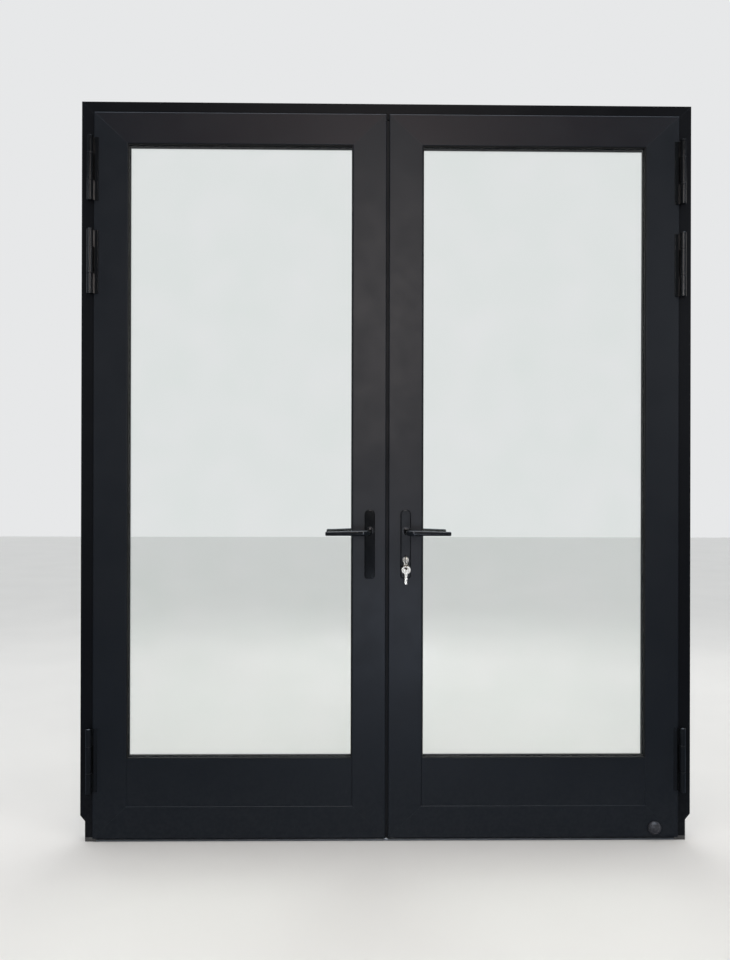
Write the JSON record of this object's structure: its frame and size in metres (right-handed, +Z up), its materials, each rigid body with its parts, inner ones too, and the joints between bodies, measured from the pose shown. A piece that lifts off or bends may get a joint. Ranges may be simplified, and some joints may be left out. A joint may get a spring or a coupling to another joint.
{
  "type": "aluminium entry door",
  "caption": "Double-leaf glazed aluminium entry door in its frame, with hinges, lever handles, key lock and flush bolts.",
  "frame": {"origin": "middle of the sill's underside, at half the frame's depth", "axes": "+X to the right seen from the front, +Y into the wall, +Z up; the leaves open towards -Y"},
  "size_m": [1.78, 0.1686, 2.15],
  "materials": {
    "anthracite_coating": "satin",
    "sill_aluminium": "satin",
    "mill_aluminium": "matte",
    "spacer_aluminium": "matte",
    "end_block_plastic": "matte",
    "seal_rubber": "matte",
    "black_coating": "gloss",
    "steel": "satin",
    "stainless_steel": "satin",
    "nickel": "satin",
    "nylon": "matte",
    "block_plastic": "matte",
    "brush_plastic": "matte",
    "glass": "polished",
    "stop_grey": "satin"
  },
  "bodies": {
    "frame": {"jamb_left": "anthracite_coating", "jamb_right": "anthracite_coating", "head": "anthracite_coating", "threshold": "sill_aluminium", "threshold_end_blocks": "end_block_plastic", "frame_corner_cleats": "mill_aluminium", "frame_seals": "seal_rubber", "hinge_frame_parts": "black_coating", "hinge_pins": "steel", "hinge_bushes": "nylon", "bolt_keepers": "nylon"},
    "leaf_left": {"hinge_stile_left": "anthracite_coating", "meeting_stile_left": "anthracite_coating", "top_rail_left": "anthracite_coating", "bottom_rail_left": "anthracite_coating", "kick_rail_left": "anthracite_coating", "corner_cleats_left": "mill_aluminium", "panes_left": "glass", "pane_spacer_left": "spacer_aluminium", "setting_blocks_left": "block_plastic", "seals_left": "seal_rubber", "glazing_beads_left": "anthracite_coating", "bottom_brush_left": "brush_plastic", "hinge_leaf_parts_left": "black_coating", "handle_plates_left": "black_coating", "interlock": "anthracite_coating", "interlock_caps": "brush_plastic", "strike_plate": "stainless_steel", "bolt_gear_case": "steel"},
    "leaf_right": {"hinge_stile_right": "anthracite_coating", "meeting_stile_right": "anthracite_coating", "top_rail_right": "anthracite_coating", "bottom_rail_right": "anthracite_coating", "kick_rail_right": "anthracite_coating", "corner_cleats_right": "mill_aluminium", "panes_right": "glass", "pane_spacer_right": "spacer_aluminium", "setting_blocks_right": "block_plastic", "seals_right": "seal_rubber", "glazing_beads_right": "anthracite_coating", "bottom_brush_right": "brush_plastic", "hinge_leaf_parts_right": "black_coating", "handle_plates_right": "black_coating", "lock_case": "steel", "lock_faceplate": "stainless_steel", "cylinder_body": "nickel", "door_stop": "stop_grey"},
    "handle_left": {"levers_left": "black_coating", "spindle_left": "steel"},
    "handle_right": {"levers_right": "black_coating", "spindle_right": "steel"},
    "flush_bolt_top": {"flush_bolt_top": "steel"},
    "flush_bolt_bottom": {"flush_bolt_bottom": "steel"},
    "latch_bolt": {"latch_bolt": "nickel"},
    "dead_bolt": {"dead_bolt": "nickel"},
    "key": {"cylinder_plug": "nickel", "key_in_plug": "nickel"},
    "key_ring": {"key_ring": "nickel"},
    "spare_key": {"spare_key": "nickel"}
  },
  "joints": [
    {"name": "leaf_left_hinge", "type": "hinge", "parent": "frame", "child": "leaf_left", "pos_m": [-0.861, -0.0445, 1.1], "axis": [0, 0, -1], "range_deg": [0, 170]},
    {"name": "leaf_right_hinge", "type": "hinge", "parent": "frame", "child": "leaf_right", "pos_m": [0.861, -0.0445, 1.1], "axis": [0, 0, 1], "range_deg": [0, 170]},
    {"name": "handle_left_turn", "type": "hinge", "parent": "leaf_left", "child": "handle_left", "pos_m": [-0.051, -0.033, 0.905], "axis": [0, -1, 0], "range_deg": [0, 90]},
    {"name": "handle_right_turn", "type": "hinge", "parent": "leaf_right", "child": "handle_right", "pos_m": [0.0535, -0.033, 0.905], "axis": [0, 1, 0], "range_deg": [0, 40], "stiffness_Nm_per_rad": 1, "springref_deg": -34.38},
    {"name": "flush_bolt_top_slide", "type": "slide", "parent": "leaf_left", "child": "flush_bolt_top", "axis": [0, 0, -1], "range_m": [0, 0.018]},
    {"name": "flush_bolt_bottom_slide", "type": "slide", "parent": "leaf_left", "child": "flush_bolt_bottom", "axis": [0, 0, 1], "range_m": [0, 0.018]},
    {"name": "latch_slide", "type": "slide", "parent": "leaf_right", "child": "latch_bolt", "axis": [1, 0, 0], "range_m": [0, 0.011]},
    {"name": "dead_bolt_slide", "type": "slide", "parent": "leaf_right", "child": "dead_bolt", "axis": [-1, 0, 0], "range_m": [0, 0.02]},
    {"name": "key_turn", "type": "hinge", "parent": "leaf_right", "child": "key", "pos_m": [0.0535, -0.0435, 0.82], "axis": [0, -1, 0], "range_deg": [0, 360]},
    {"name": "key_ring_swing", "type": "hinge", "parent": "key", "child": "key_ring", "pos_m": [0.0535, -0.059, 0.8189], "axis": [-1, 0, 0], "range_deg": [-10, 35]},
    {"name": "spare_key_swing", "type": "hinge", "parent": "key_ring", "child": "spare_key", "pos_m": [0.0535, -0.059, 0.7979], "axis": [0, 1, 0], "range_deg": [-35, 35]}
  ],
  "couplings": [
    {"joint": "flush_bolt_top_slide", "follows": "handle_left_turn", "m_per_rad": 0.01145},
    {"joint": "flush_bolt_bottom_slide", "follows": "handle_left_turn", "m_per_rad": 0.01145},
    {"joint": "latch_slide", "follows": "handle_right_turn", "m_per_rad": 0.01575},
    {"joint": "dead_bolt_slide", "follows": "key_turn", "m_per_rad": 0.00318}
  ]
}
